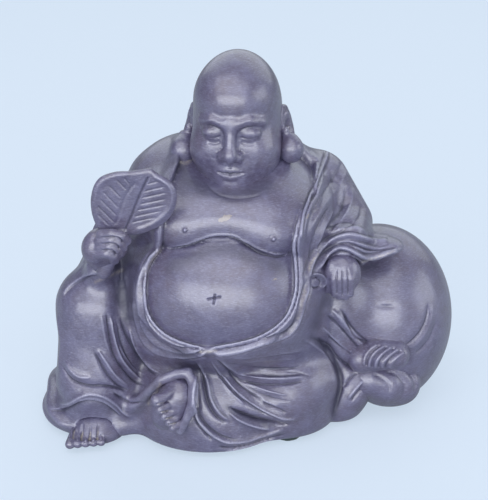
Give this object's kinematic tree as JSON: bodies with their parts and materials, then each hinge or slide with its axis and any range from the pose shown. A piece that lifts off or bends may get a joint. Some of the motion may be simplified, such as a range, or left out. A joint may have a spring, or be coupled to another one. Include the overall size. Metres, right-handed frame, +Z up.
{
  "type": "laughing buddha statue",
  "caption": "Seated laughing figure in a loose robe, with a leaf fan on its raised knee and its other hand on a tied cloth sack; cast, standing on felt pads.",
  "frame": {"origin": "on the surface that it stands on, under the middle of the figure's box", "axes": "+X to the figure's left, along the sack, the longest way; +Y to its back, the shortest way; +Z up"},
  "size_m": [0.279, 0.1872, 0.2408],
  "materials": {
    "skin": "satin, hand rubbed",
    "robe": "satin, pale on worn ridges",
    "sack": "satin",
    "fan": "dull satin",
    "felt": "felt"
  },
  "bodies": {
    "root": {"head": "skin", "torso": "skin", "right_ear": "skin", "left_ear": "skin", "fan": "fan", "right_hand": "skin", "left_hand": "skin", "right_foot": "skin", "left_foot": "skin", "robe_border": "robe", "cloth_curl": "robe", "right_leg_robe": "robe", "left_leg_robe": "robe", "sack_knot": "sack", "sack_tail": "sack", "right_sleeve": "robe", "left_sleeve": "robe", "sack": "sack", "sack_mouth_cloth": "sack", "front_drape": "robe", "ground_hem": "robe", "mantle": "robe", "felt_pad_1": "felt", "felt_pad_2": "felt", "felt_pad_3": "felt", "felt_pad_4": "felt", "felt_pad_5": "felt"}
  },
  "joints": []
}
